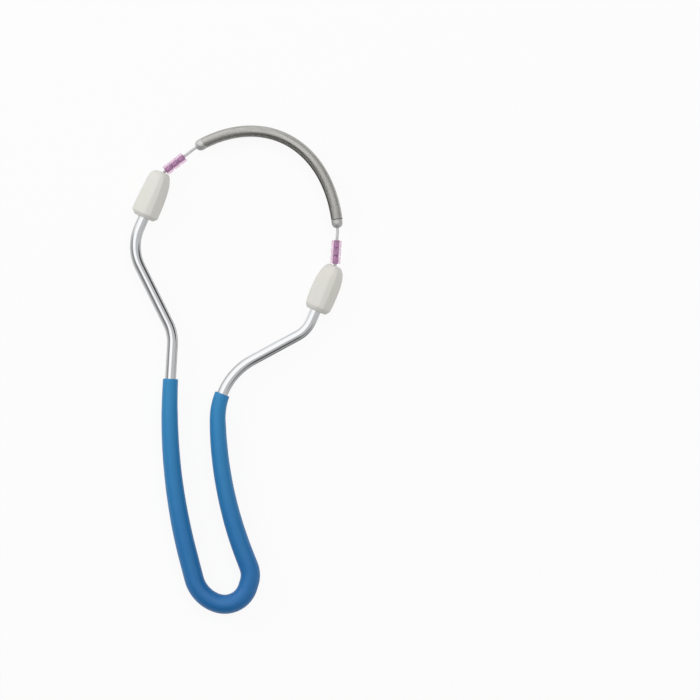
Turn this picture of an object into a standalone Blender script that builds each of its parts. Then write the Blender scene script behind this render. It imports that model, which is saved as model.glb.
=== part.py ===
# Spring facial epilator: a bent steel rod with a soft grip holds a bow-shaped coil spring on a cable.
# It lies flat: X across, Y from the grip's bend up to the spring, Z away from the table.

import math

import bmesh
import bpy
import numpy as np
from mathutils import Vector

MM = 0.001

# Clearances shared by every piece
FIT_GAP = 0.3 * MM
OVERRUN = 2.0 * MM
MERGE = 0.02 * MM

# Frame rod, a round bar bent cold; the runs are counted from the lowest point of the grip's bend
ROD_DIAMETER = 4.4 * MM
ROD_TIP_CHAMFER = 0.5 * MM
ROD_TIP_SHARE = 0.8
ROD_SAMPLE = 9.0 * MM
BEND_STEP = 9.0
ROD_RESOLUTION = 4
FOOT_HEADING = 161.8

LEFT_FOOT_RADIUS = 14.1 * MM
LEFT_LEG_RUN = 9.3 * MM
LEFT_LEG_RADIUS = 231.0 * MM
LEFT_NECK_RUN = 13.6 * MM
LEFT_NECK_RADIUS = 16.6 * MM
LEFT_ARM_RUN = 25.3 * MM
LEFT_ELBOW_RADIUS = 18.4 * MM
LEFT_TIP_RUN = 4.5 * MM
LEFT_TURNS = (-57.3, -17.8, 29.7, -50.0)

RIGHT_FOOT_RADIUS = 9.7 * MM
RIGHT_FOOT_RUN = 2.1 * MM
RIGHT_HEEL_RADIUS = 9.7 * MM
RIGHT_LEG_RUN = 5.0 * MM
RIGHT_LEG_RADIUS = 158.7 * MM
RIGHT_NECK_RUN = 0.5 * MM
RIGHT_NECK_RADIUS = 26.9 * MM
RIGHT_ARM_RUN = 20.4 * MM
RIGHT_ELBOW_RADIUS = 12.2 * MM
RIGHT_TIP_RUN = 4.4 * MM
RIGHT_TURNS = (91.5, 37.8, -19.7, -62.9, 37.9)

# Soft grip, a dipped sleeve that is thickest round the bend and reaches as far up both legs
GRIP_REACH = 95.0 * MM
GRIP_END_WALL = 0.55 * MM
GRIP_FOOT_WALL = 1.4 * MM
GRIP_TAPER_RUN = 68.0 * MM
GRIP_EDGE = 0.25 * MM
GRIP_RESOLUTION = 6

# End caps, eight-sided bullets pushed over the rod's two ends; the lower half of the section is the
# upper half turned round, and its narrow flat lies on the table
CAP_LENGTH = 19.7 * MM
CAP_BASE_WALL = 3.1 * MM
CAP_SHOULDER_WALL = 2.5 * MM
CAP_TABLE_WALL = 2.7 * MM
CAP_SECTION_SHARES = ((1.0, -0.52), (1.0, 0.35), (0.45, 1.0), (0.02, 1.0))
CAP_BASE_CHAMFER = 1.2 * MM
CAP_DOME = 5.2 * MM
CAP_DOME_STEPS = 4
CAP_TIP_SHARE = 0.4
CAP_EDGE = 0.8 * MM
CAP_TIP_WALL = 1.4 * MM
CAP_CHAMBER_ROOM = 1.7 * MM
CAP_CHAMBER_PLAY = 0.4 * MM
CAP_MOUTH_PLAY = 0.05 * MM
CAP_COUNTERSINK = 0.8 * MM
CAP_BORE_SIDES = 24
CAP_EDGE_SEGMENTS = 2

# Cable, with the ball crimped on each end of it
WIRE_DIAMETER = 1.2 * MM
WIRE_BEND_RADIUS = 2.0 * MM
WIRE_BEND_STEPS = 4
WIRE_SAMPLE = 2.4 * MM
WIRE_LEAD = 1.2 * MM
WIRE_RESOLUTION = 2
LEFT_WIRE_HEADING = 37.5
RIGHT_WIRE_HEADING = 86.3
LEFT_BARE_WIRE = 6.0 * MM
RIGHT_BARE_WIRE = 4.9 * MM
STOP_DIAMETER = 2.8 * MM
STOP_TAIL = 0.4 * MM
STOP_STEPS = 6

# Beads, three on each side between the cap and the spring
BEADS_A_SIDE = 3
BEAD_DIAMETER = 4.0 * MM
BEAD_LENGTH = 2.85 * MM
BEAD_EDGE = 0.9 * MM
BEAD_EDGE_STEPS = 3
BEAD_SEAT_ROOM = 0.1 * MM

# Bow of the spring, a smooth curve from one bush to the other
BOW_LEFT_HEADING = 30.1
BOW_RIGHT_HEADING = 95.0
BOW_PULL_SHARE = 0.505
BOW_STEPS = 400

# Bushes, turned plugs that close the spring's two ends
BUSH_WALL = 0.22 * MM
BUSH_INSET = 0.1 * MM
BUSH_HEAD = 3.2 * MM
BUSH_FLANGE = 1.3 * MM
BUSH_LAND_SHARE = 0.52
BUSH_SPIGOT = 3.0 * MM
BUSH_DOME_STEPS = 4

# Coil spring
COIL_WIRE = 0.8 * MM
COIL_GAP = 0.52 * MM
COIL_POINTS = 8
COIL_RESOLUTION = 1
COIL_TURN_OFF = 0.9 * MM
COIL_TURN_STEPS = 3
LEAST_GAP = 0.4 * MM

# Sides of the small turned pieces
TURNED_SIDES = 12

# Colours as base colour, roughness and metallic value
STEEL_FINISH = ((0.62, 0.63, 0.64), 0.22, 1.0)
GRIP_FINISH = ((0.035, 0.21, 0.47), 0.45, 0.0)
CAP_FINISH = ((0.80, 0.79, 0.74), 0.4, 0.0)
SPRING_FINISH = ((0.50, 0.49, 0.47), 0.3, 1.0)
WIRE_FINISH = ((0.72, 0.72, 0.72), 0.35, 0.0)
BEAD_FINISH = ((0.62, 0.16, 0.50), 0.2, 0.0)
BUSH_FINISH = ((0.62, 0.62, 0.60), 0.3, 1.0)
BRASS_FINISH = ((0.70, 0.52, 0.25), 0.35, 1.0)


# Scene helpers

def clear_scene():
    for item in list(bpy.data.objects):
        bpy.data.objects.remove(item, do_unlink=True)


def new_collection(name):
    collection = bpy.data.collections.new(name)
    bpy.context.scene.collection.children.link(collection)
    return collection


def finish_material(name, finish):
    colour, roughness, metallic = finish
    material = bpy.data.materials.new(name)
    material.use_nodes = True
    shader = material.node_tree.nodes["Principled BSDF"]
    shader.inputs["Base Color"].default_value = (*colour, 1.0)
    shader.inputs["Roughness"].default_value = roughness
    shader.inputs["Metallic"].default_value = metallic
    material.diffuse_color = (*colour, 1.0)
    return material


def dress(piece, finish):
    piece.data.materials.clear()
    piece.data.materials.append(finish_material(piece.name, finish))


def shade(piece):
    piece.data.shade_smooth()
    piece.data.set_sharp_from_angle(angle=math.radians(35.0))


def as_cutter(piece):
    piece.hide_render = True
    piece.display_type = "WIRE"


def cut(piece, cutter):
    boolean = piece.modifiers.new("Cut " + cutter.name, "BOOLEAN")
    boolean.operation = "DIFFERENCE"
    boolean.object = cutter


def unit(heading):
    angle = math.radians(heading)
    return Vector((math.cos(angle), math.sin(angle), 0.0))


def clear_radius(diameter, sides):
    """The corner radius of a many-sided bore that clears a round piece by the fit gap."""
    return (diameter / 2.0 + FIT_GAP) / math.cos(math.pi / sides)


# Sizes that follow from what fits in what

def round_rod(wall):
    """Half the width of a piece that goes over the rod with this wall."""
    return ROD_DIAMETER / 2.0 + FIT_GAP + wall


def spigot_radius():
    return clear_radius(WIRE_DIAMETER, TURNED_SIDES) + BUSH_WALL


def coil_radius():
    """The coil's radius at the middle of its wire, round the bushes' spigots."""
    return spigot_radius() + FIT_GAP + COIL_WIRE / 2.0


def stop_depth():
    """How far the middle of the crimped ball lies below the cap's tip."""
    return CAP_TIP_WALL + FIT_GAP + STOP_DIAMETER / 2.0


def wire_depth():
    return stop_depth() + STOP_DIAMETER / 2.0 + STOP_TAIL


def rod_seat():
    """How deep the rod's tip sits in the cap, short of the cable's tail."""
    return CAP_LENGTH - wire_depth() - CAP_CHAMBER_ROOM


def bead_stand_off(turn):
    """How far along the cable the first bead starts, so that its leaning round edge clears the cap."""
    lean = math.radians(abs(turn))
    reach = (BEAD_DIAMETER / 2.0 - BEAD_EDGE) * math.sin(lean)
    return (FIT_GAP + BEAD_EDGE + reach) / math.cos(lean) - BEAD_EDGE + BEAD_SEAT_ROOM


# Tubes along a route

def tube_sides(resolution):
    return 4 + 2 * resolution


def new_tube(name, collection, points, diameter, resolution, radius_shares=None):
    curve = bpy.data.curves.new(name, "CURVE")
    curve.dimensions = "3D"
    curve.twist_mode = "Z_UP"
    curve.resolution_u = 1
    curve.render_resolution_u = 0
    curve.bevel_depth = diameter / 2.0
    curve.bevel_resolution = resolution
    curve.use_fill_caps = True
    spline = curve.splines.new("POLY")
    spline.points.add(len(points) - 1)
    for index, point in enumerate(points):
        spline.points[index].co = (*point, 1.0)
        if radius_shares:
            spline.points[index].radius = radius_shares[index]
    piece = bpy.data.objects.new(name, curve)
    collection.objects.link(piece)
    return piece


def tube_mesh(tube, collection):
    """Turns a curve object into a welded mesh object of the same name and place."""
    bpy.context.view_layer.update()
    graph = bpy.context.evaluated_depsgraph_get()
    name = tube.name
    mesh = bpy.data.meshes.new_from_object(tube.evaluated_get(graph))
    mesh.materials.clear()
    welded = bmesh.new()
    welded.from_mesh(mesh)
    bmesh.ops.remove_doubles(welded, verts=welded.verts, dist=MERGE)
    bmesh.ops.recalc_face_normals(welded, faces=welded.faces)
    welded.to_mesh(mesh)
    welded.free()
    place = tube.matrix_world.copy()
    bpy.data.objects.remove(tube, do_unlink=True)
    piece = bpy.data.objects.new(name, mesh)
    piece.matrix_world = place
    collection.objects.link(piece)
    return piece


# Turned pieces

def turned(name, collection, profile, steps):
    """Spins a closed outline of (radius, height) points round the local Z axis."""
    mesh = bpy.data.meshes.new(name)
    points = [(radius, 0.0, height) for radius, height in profile]
    edges = [(index, (index + 1) % len(points)) for index in range(len(points))]
    mesh.from_pydata(points, edges, [])
    piece = bpy.data.objects.new(name, mesh)
    collection.objects.link(piece)
    screw = piece.modifiers.new("Turn", "SCREW")
    screw.axis = "Z"
    screw.steps = steps
    screw.render_steps = steps
    screw.use_merge_vertices = True
    screw.merge_threshold = MERGE
    screw.use_smooth_shade = True
    return piece


def aim(piece, place, heading):
    """Puts a turned piece's local Z along a heading in the table's plane."""
    piece.location = place
    piece.rotation_euler = (0.0, math.pi / 2.0, math.radians(heading))


# Frame rod

def bend_route(heading, steps):
    """Walks straight runs and bends and gives (distance along, point) stations and the last heading."""
    point = Vector((0.0, 0.0, 0.0))
    distance = 0.0
    stations = [(distance, point.copy())]
    for run, radius, turn in steps:
        count = max(1, math.ceil(run / ROD_SAMPLE))
        for index in range(count):
            point = point + unit(heading) * run / count
            distance += run / count
            stations.append((distance, point.copy()))
        if not turn:
            continue
        bend = radius * math.radians(abs(turn))
        count = max(math.ceil(abs(turn) / BEND_STEP), math.ceil(bend / ROD_SAMPLE))
        step = turn / count
        chord = 2.0 * radius * math.sin(math.radians(abs(step)) / 2.0)
        for index in range(count):
            point = point + unit(heading + step / 2.0) * chord
            heading += step
            distance += bend / count
            stations.append((distance, point.copy()))
    return stations, heading


def frame_sides():
    """Both arms of the rod up to their cap's base, walked from the grip's lowest point."""
    left_steps = (
        (0.0, LEFT_FOOT_RADIUS, LEFT_TURNS[0]),
        (LEFT_LEG_RUN, LEFT_LEG_RADIUS, LEFT_TURNS[1]),
        (LEFT_NECK_RUN, LEFT_NECK_RADIUS, LEFT_TURNS[2]),
        (LEFT_ARM_RUN, LEFT_ELBOW_RADIUS, LEFT_TURNS[3]),
        (LEFT_TIP_RUN, 0.0, 0.0),
    )
    right_steps = (
        (0.0, RIGHT_FOOT_RADIUS, RIGHT_TURNS[0]),
        (RIGHT_FOOT_RUN, RIGHT_HEEL_RADIUS, RIGHT_TURNS[1]),
        (RIGHT_LEG_RUN, RIGHT_LEG_RADIUS, RIGHT_TURNS[2]),
        (RIGHT_NECK_RUN, RIGHT_NECK_RADIUS, RIGHT_TURNS[3]),
        (RIGHT_ARM_RUN, RIGHT_ELBOW_RADIUS, RIGHT_TURNS[4]),
        (RIGHT_TIP_RUN, 0.0, 0.0),
    )
    return bend_route(FOOT_HEADING, left_steps), bend_route(FOOT_HEADING - 180.0, right_steps)


def rod_height(distance):
    """The rod's height over the table: low in the grip's bend, level with the caps above the grip."""
    foot = round_rod(GRIP_FOOT_WALL)
    head = round_rod(CAP_TABLE_WALL)
    share = min(distance / GRIP_TAPER_RUN, 1.0)
    return foot + (head - foot) * share * share * (3.0 - 2.0 * share)


def grip_radius_share(distance):
    """The grip's radius as a share of its foot radius, a distance from the bend, with eased ends."""
    end_share = round_rod(GRIP_END_WALL) / round_rod(GRIP_FOOT_WALL)
    past = max(0.0, distance - (GRIP_REACH - GRIP_TAPER_RUN))
    share = 1.0 - (1.0 - end_share) * past / GRIP_TAPER_RUN
    if GRIP_REACH - distance < GRIP_EDGE:
        share -= GRIP_EDGE / round_rod(GRIP_FOOT_WALL)
    return share


def point_along(stations, distance):
    for (near, start), (far, end) in zip(stations, stations[1:]):
        if distance <= far or far == stations[-1][0]:
            return start + (end - start) * (distance - near) / (far - near)


def raised(point, distance):
    return Vector((point.x, point.y, rod_height(distance)))


def route_between(left, right, left_length, right_length, edge):
    """Stations of the rod's route over a stretch, with a station a small edge inside each end."""
    stretch = []
    for sign, stations, length in ((-1.0, left, left_length), (1.0, right, right_length)):
        side = [distance for distance, _ in stations if 0.0 < distance < length - 2.0 * edge]
        side += [length - edge, length]
        stretch += [(sign * distance, raised(point_along(stations, distance), distance)) for distance in side]
    stretch.append((0.0, raised(left[0][1], 0.0)))
    stretch.sort(key=lambda station: station[0])
    return stretch


def into_cap(stations, heading):
    """The same stations with the straight stretch that goes into the cap added."""
    distance, point = stations[-1]
    return stations + [(distance + rod_seat(), point + unit(heading) * rod_seat())]


def frame_rod(parts, left, right):
    stretch = route_between(left, right, left[-1][0], right[-1][0], ROD_TIP_CHAMFER)
    shares = [1.0] * len(stretch)
    shares[0] = shares[-1] = ROD_TIP_SHARE
    points = [point for _, point in stretch]
    rod = new_tube("frame_rod", parts, points, ROD_DIAMETER, ROD_RESOLUTION, shares)
    rod = tube_mesh(rod, parts)
    shade(rod)
    dress(rod, STEEL_FINISH)
    return rod


def grip_sleeve(parts, cutters, left, right):
    stretch = route_between(left, right, GRIP_REACH, GRIP_REACH, GRIP_EDGE)
    shares = [grip_radius_share(abs(distance)) for distance, _ in stretch]
    points = [point for _, point in stretch]
    diameter = 2.0 * round_rod(GRIP_FOOT_WALL)
    sleeve = new_tube("grip_sleeve", parts, points, diameter, GRIP_RESOLUTION, shares)
    sleeve = tube_mesh(sleeve, parts)
    ends = [points[0] + (points[0] - points[1]).normalized() * OVERRUN]
    ends.append(points[-1] + (points[-1] - points[-2]).normalized() * OVERRUN)
    route = [ends[0]] + points[1:-1] + [ends[1]]
    bore_diameter = 2.0 * clear_radius(ROD_DIAMETER, tube_sides(ROD_RESOLUTION))
    bore = new_tube("grip_bore", cutters, route, bore_diameter, ROD_RESOLUTION)
    bore = tube_mesh(bore, cutters)
    bore.parent = sleeve
    as_cutter(bore)
    cut(sleeve, bore)
    shade(sleeve)
    dress(sleeve, GRIP_FINISH)
    return sleeve


# End caps

def cap_outline(half_width, half_thickness):
    """Eight corners of the cap's section, counter-clockwise seen from its tip."""
    upper = [(across * half_width, up * half_thickness) for across, up in CAP_SECTION_SHARES]
    return upper + [(-across, -up) for across, up in upper]


def cap_stations():
    """Places along the cap with its half width and half thickness there."""
    base = round_rod(CAP_BASE_WALL)
    shoulder = round_rod(CAP_SHOULDER_WALL)
    thick = round_rod(CAP_TABLE_WALL)
    shoulder_at = CAP_LENGTH - CAP_DOME
    stations = [
        (0.0, base - CAP_BASE_CHAMFER, thick - CAP_BASE_CHAMFER),
        (CAP_BASE_CHAMFER, base, thick),
        (shoulder_at, shoulder, thick),
    ]
    last_angle = math.acos(CAP_TIP_SHARE)
    for step in range(1, CAP_DOME_STEPS + 1):
        angle = last_angle * step / CAP_DOME_STEPS
        share = math.cos(angle)
        rise = CAP_DOME * math.sin(angle) / math.sin(last_angle)
        stations.append((shoulder_at + rise, shoulder * share, thick * share))
    return stations


def end_cap(name, parts, cutters, base_point, heading):
    """A cap with its base at the local origin and its tip up the local Y axis."""
    shell = bmesh.new()
    rings = []
    for along, half_width, half_thickness in cap_stations():
        outline = cap_outline(half_width, half_thickness)
        rings.append([shell.verts.new((across, along, up)) for across, up in outline])
    for lower, upper in zip(rings, rings[1:]):
        for index in range(len(lower)):
            following = (index + 1) % len(lower)
            shell.faces.new((lower[index], lower[following], upper[following], upper[index]))
    shell.faces.new(rings[0])
    shell.faces.new(rings[-1])
    bmesh.ops.recalc_face_normals(shell, faces=shell.faces)
    mesh = bpy.data.meshes.new(name)
    shell.to_mesh(mesh)
    shell.free()
    cap = bpy.data.objects.new(name, mesh)
    parts.objects.link(cap)
    bevel = cap.modifiers.new("Soft edges", "BEVEL")
    bevel.width = CAP_EDGE
    bevel.segments = CAP_EDGE_SEGMENTS
    bevel.limit_method = "ANGLE"
    bevel.angle_limit = math.radians(30.0)

    socket_top = rod_seat() + FIT_GAP
    socket_radius = clear_radius(ROD_DIAMETER, CAP_BORE_SIDES)
    chamber_top = CAP_LENGTH - CAP_TIP_WALL
    chamber_radius = clear_radius(STOP_DIAMETER, CAP_BORE_SIDES) + CAP_CHAMBER_PLAY
    mouth_radius = clear_radius(WIRE_DIAMETER, CAP_BORE_SIDES) + CAP_MOUTH_PLAY
    sink_reach = CAP_COUNTERSINK + OVERRUN
    bores = (
        ("socket", -OVERRUN, socket_top, socket_radius, socket_radius),
        ("chamber", socket_top - OVERRUN, chamber_top, chamber_radius, chamber_radius),
        ("mouth", chamber_top - OVERRUN, CAP_LENGTH + OVERRUN, mouth_radius, mouth_radius),
        ("sink", CAP_LENGTH - CAP_COUNTERSINK, CAP_LENGTH + OVERRUN, mouth_radius, mouth_radius + sink_reach),
    )
    for label, low, high, low_radius, high_radius in bores:
        bpy.ops.mesh.primitive_cone_add(
            vertices=CAP_BORE_SIDES, radius1=low_radius, radius2=high_radius, depth=high - low)
        cutter = bpy.context.object
        cutter.name = name + "_" + label
        cutter.location = (0.0, (low + high) / 2.0, 0.0)
        cutter.rotation_euler = (-math.pi / 2.0, 0.0, 0.0)
        for holder in list(cutter.users_collection):
            holder.objects.unlink(cutter)
        cutters.objects.link(cutter)
        cutter.parent = cap
        as_cutter(cutter)
        cut(cap, cutter)
    cap.location = base_point
    cap.rotation_euler = (0.0, 0.0, math.radians(heading - 90.0))
    shade(cap)
    dress(cap, CAP_FINISH)
    return cap


# Bow curve

def bow_curve(start, end):
    """Even fine stations (distance, point) on the bow, one cubic curve in the plane of the mouths."""
    pull = (end - start).length * BOW_PULL_SHARE
    first = start + unit(BOW_LEFT_HEADING) * pull
    second = end + unit(BOW_RIGHT_HEADING) * pull
    stations = []
    distance = 0.0
    for index in range(BOW_STEPS + 1):
        t = index / BOW_STEPS
        s = 1.0 - t
        point = start * s ** 3 + first * 3.0 * s * s * t + second * 3.0 * s * t * t + end * t ** 3
        if stations:
            distance += (point - stations[-1][1]).length
        stations.append((distance, point))
    return stations


def bow_frame(bow, distance):
    """The bow's point at a distance along it, with its direction and the outward side."""
    probe = bow[-1][0] / len(bow)
    low = max(distance - probe, 0.0)
    high = min(distance + probe, bow[-1][0])
    along = (point_along(bow, high) - point_along(bow, low)).normalized()
    outward = Vector((-along.y, along.x, 0.0))
    return point_along(bow, distance), along, outward


def heading_of(direction):
    return math.degrees(math.atan2(direction.y, direction.x))


# Coil spring

def coil_route(bow):
    """The spring's wire: it stands square on one bush, winds round the bow and ends square on the other."""
    radius = coil_radius()
    first = BUSH_HEAD + FIT_GAP
    last = bow[-1][0] - BUSH_HEAD - FIT_GAP
    end_run = COIL_WIRE + COIL_TURN_OFF
    wound = last - first - 2.0 * end_run
    curls = int(wound / (COIL_WIRE + COIL_GAP))
    pitch = wound / curls

    def place(distance, angle, reach):
        centre, _, outward = bow_frame(bow, distance)
        return centre + outward * reach * math.cos(angle) + Vector((0.0, 0.0, reach * math.sin(angle)))

    lead_angle = COIL_TURN_OFF / radius
    lead = [(first, -lead_angle), (first + COIL_WIRE, -lead_angle)]
    for step in range(1, COIL_TURN_STEPS):
        bend = 0.5 * math.pi * step / COIL_TURN_STEPS
        along = first + COIL_WIRE + COIL_TURN_OFF * math.sin(bend)
        lead.append((along, -lead_angle * math.cos(bend)))
    route = list(lead)
    for index in range(curls * COIL_POINTS + 1):
        turn = index / COIL_POINTS
        route.append((first + end_run + pitch * turn, 2.0 * math.pi * turn))
    whole = 2.0 * math.pi * curls
    for along, angle in reversed(lead):
        route.append((first + last - along, whole - angle))
    return [place(along, angle, radius) for along, angle in route], curls


def least_self_gap(points, skip):
    """The least clear distance between wire stretches more than a few points apart along the coil."""
    fine = np.array([tuple(point) for point in points])
    middles = (fine[1:] + fine[:-1]) / 2.0
    merged = np.empty((len(fine) + len(middles), 3))
    merged[0::2] = fine
    merged[1::2] = middles
    least = math.inf
    for index in range(len(merged)):
        others = merged[index + 2 * skip:index + 6 * skip]
        if len(others):
            least = min(least, float(np.min(np.linalg.norm(others - merged[index], axis=1))))
    return least - COIL_WIRE


def coil_spring(parts, bow):
    points, curls = coil_route(bow)
    gap = least_self_gap(points, COIL_POINTS // 2)
    print(f"spring: {curls} curls, least gap to itself {gap / MM:.3f} mm (over {LEAST_GAP / MM:.1f} mm)")
    spring = new_tube("spring", parts, points, COIL_WIRE, COIL_RESOLUTION)
    spring = tube_mesh(spring, parts)
    shade(spring)
    dress(spring, SPRING_FINISH)
    return spring


# Cable and what is threaded on it

def core_wire(parts, sides, bow):
    """The cable from ball to ball: up each cap's hole, through the beads and along the bow."""
    ends = []
    for _, mouth, cap_heading, wire_heading, bow_end, _ in sides:
        turn = wire_heading - cap_heading
        tangent = WIRE_BEND_RADIUS * math.tan(math.radians(abs(turn)) / 2.0)
        route = [mouth - unit(cap_heading) * wire_depth(), mouth - unit(cap_heading) * tangent]
        chord = 2.0 * WIRE_BEND_RADIUS * math.sin(math.radians(abs(turn)) / WIRE_BEND_STEPS / 2.0)
        for step in range(WIRE_BEND_STEPS):
            heading = cap_heading + turn * (step + 0.5) / WIRE_BEND_STEPS
            route.append(route[-1] + unit(heading) * chord)
        route.append(bow_end - unit(wire_heading) * WIRE_LEAD)
        ends.append(route)
    inner_length = bow[-1][0] - 2.0 * WIRE_LEAD
    count = math.ceil(inner_length / WIRE_SAMPLE)
    inner = [point_along(bow, WIRE_LEAD + inner_length * step / count) for step in range(count + 1)]
    wire = new_tube("core_wire", parts, ends[0] + inner + ends[1][::-1], WIRE_DIAMETER, WIRE_RESOLUTION)
    wire = tube_mesh(wire, parts)
    shade(wire)
    dress(wire, WIRE_FINISH)
    return wire


def wire_stop(name, parts, place, heading):
    bore = clear_radius(WIRE_DIAMETER, TURNED_SIDES)
    radius = STOP_DIAMETER / 2.0
    last = math.acos(bore / radius)
    profile = []
    for step in range(STOP_STEPS + 1):
        angle = last - 2.0 * last * step / STOP_STEPS
        profile.append((radius * math.cos(angle), radius * math.sin(angle)))
    stop = turned(name, parts, profile, TURNED_SIDES)
    aim(stop, place, heading)
    dress(stop, BRASS_FINISH)
    return stop


def bead(name, parts, place, heading):
    bore = clear_radius(WIRE_DIAMETER, TURNED_SIDES)
    radius = BEAD_DIAMETER / 2.0
    half = BEAD_LENGTH / 2.0
    rim = []
    for step in range(BEAD_EDGE_STEPS + 1):
        angle = 0.5 * math.pi * (1.0 - step / BEAD_EDGE_STEPS)
        rim.append((radius - BEAD_EDGE + BEAD_EDGE * math.cos(angle),
                    half - BEAD_EDGE + BEAD_EDGE * math.sin(angle)))
    profile = [(bore, half)] + rim
    profile += [(reach, -height) for reach, height in reversed(profile)]
    piece = turned(name, parts, profile, TURNED_SIDES)
    aim(piece, place, heading)
    dress(piece, BEAD_FINISH)
    return piece


def spring_bush(name, parts, place, heading):
    """A plug with its flange's inner face at the origin, its dome up and its spigot down."""
    bore = clear_radius(WIRE_DIAMETER, TURNED_SIDES)
    flange = coil_radius() + COIL_WIRE / 2.0 - BUSH_INSET
    spigot = spigot_radius()
    edge = (spigot - bore) / 2.0
    last_angle = math.acos(BUSH_LAND_SHARE)
    profile = [(bore, BUSH_HEAD)]
    for step in range(BUSH_DOME_STEPS, -1, -1):
        angle = last_angle * step / BUSH_DOME_STEPS
        rise = (BUSH_HEAD - BUSH_FLANGE) * math.sin(angle) / math.sin(last_angle)
        profile.append((flange * math.cos(angle), BUSH_FLANGE + rise))
    profile += [
        (flange, 0.0),
        (spigot, 0.0),
        (spigot, edge - BUSH_SPIGOT),
        (spigot - edge, -BUSH_SPIGOT),
        (bore, -BUSH_SPIGOT),
    ]
    piece = turned(name, parts, profile, TURNED_SIDES)
    aim(piece, place, heading)
    dress(piece, BUSH_FINISH)
    return piece


# Assembly

def note_axis(label, place, direction):
    """Prints a joint's place and axis in world metres."""
    place = " ".join(f"{value:.6f}" for value in place)
    direction = " ".join(f"{value:.5f}" for value in direction)
    print(f"{label}: at {place} along {direction}")


def put_under(piece, holder):
    """Parents a piece and keeps it where it stands; neither is turned by its parent."""
    piece.parent = holder
    piece.location = piece.location - holder.location


def new_empty(name, collection, place):
    empty = bpy.data.objects.new(name, None)
    empty.location = place
    collection.objects.link(empty)
    return empty


def stand_on_table(datum, parts):
    """Moves the datum so that the part's box is centred over the origin and stands on the table."""
    bpy.context.view_layer.update()
    graph = bpy.context.evaluated_depsgraph_get()
    low = Vector((math.inf,) * 3)
    high = -low
    for piece in parts.objects:
        if piece.type == "EMPTY":
            continue
        evaluated = piece.evaluated_get(graph)
        mesh = evaluated.to_mesh()
        for vertex in mesh.vertices:
            point = evaluated.matrix_world @ vertex.co
            low = Vector(map(min, low, point))
            high = Vector(map(max, high, point))
        evaluated.to_mesh_clear()
    datum.location = (-(low.x + high.x) / 2.0, -(low.y + high.y) / 2.0, -low.z)
    bpy.context.view_layer.update()
    return high - low


def build():
    clear_scene()
    parts = new_collection("facial_epilator")
    cutters = new_collection("cutters")

    (left, left_heading), (right, right_heading) = frame_sides()
    head_height = Vector((0.0, 0.0, round_rod(CAP_TABLE_WALL)))
    bases = [left[-1][1] + head_height, right[-1][1] + head_height]
    mouths = [bases[0] + unit(left_heading) * CAP_LENGTH, bases[1] + unit(right_heading) * CAP_LENGTH]
    handle = [
        frame_rod(parts, into_cap(left, left_heading), into_cap(right, right_heading)),
        grip_sleeve(parts, cutters, left, right),
        end_cap("end_cap_left", parts, cutters, bases[0], left_heading),
        end_cap("end_cap_right", parts, cutters, bases[1], right_heading),
    ]

    bead_pitch = BEAD_LENGTH + FIT_GAP
    left_stand = bead_stand_off(LEFT_WIRE_HEADING - left_heading)
    right_stand = bead_stand_off(RIGHT_WIRE_HEADING - right_heading)
    left_run = left_stand + BEADS_A_SIDE * bead_pitch + LEFT_BARE_WIRE
    right_run = right_stand + BEADS_A_SIDE * bead_pitch + RIGHT_BARE_WIRE
    start = mouths[0] + unit(LEFT_WIRE_HEADING) * left_run
    end = mouths[1] + unit(RIGHT_WIRE_HEADING) * right_run
    bow = bow_curve(start, end)
    sides = (
        ("left", mouths[0], left_heading, LEFT_WIRE_HEADING, start, left_stand),
        ("right", mouths[1], right_heading, RIGHT_WIRE_HEADING, end, right_stand),
    )
    hung = [coil_spring(parts, bow), core_wire(parts, sides, bow)]
    spinning = []
    for side, mouth, cap_heading, wire_heading, _, stand in sides:
        place = mouth - unit(cap_heading) * stop_depth()
        hung.append(wire_stop("wire_stop_" + side, parts, place, cap_heading))
        for number in range(BEADS_A_SIDE):
            middle = stand + BEAD_LENGTH / 2.0 + number * bead_pitch
            place = mouth + unit(wire_heading) * middle
            piece = bead(f"bead_{side}_{number + 1}", parts, place, wire_heading)
            spinning.append((piece, unit(wire_heading)))
    near, near_along, _ = bow_frame(bow, BUSH_HEAD)
    far, far_along, _ = bow_frame(bow, bow[-1][0] - BUSH_HEAD)
    near_bush = spring_bush("spring_bush_left", parts, near, heading_of(-near_along))
    far_bush = spring_bush("spring_bush_right", parts, far, heading_of(far_along))
    spinning += [(near_bush, near_along), (far_bush, far_along)]

    datum = new_empty("table_datum", parts, Vector((0.0, 0.0, 0.0)))
    hole_middle = (CAP_TIP_WALL + CAP_COUNTERSINK) / 2.0
    holes = [mouth - unit(heading) * hole_middle for _, mouth, heading, _, _, _ in sides]
    pivot = new_empty("bow_pivot", parts, (holes[0] + holes[1]) / 2.0)
    for piece in hung + [piece for piece, _ in spinning]:
        put_under(piece, pivot)
    for piece in handle + [pivot]:
        put_under(piece, datum)
    size = stand_on_table(datum, parts)
    print("size in mm:", " ".join(f"{value / MM:.2f}" for value in size))
    note_axis("bow_pivot", pivot.matrix_world.translation, (holes[1] - holes[0]).normalized())
    for piece, direction in spinning:
        note_axis(piece.name, piece.matrix_world.translation, direction)
    for cap in handle[2:]:
        note_axis(cap.name, cap.matrix_world.translation, cap.matrix_world.col[1].xyz)


build()
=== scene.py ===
# A spring epilator dressed as it looks in the hand: bright drawn rod, dipped blue grip, ivory caps,
# a close-wound spring on a coated cable, and pink beads. Lengths are metres, in the CAD model's
# frame.

import math

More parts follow.
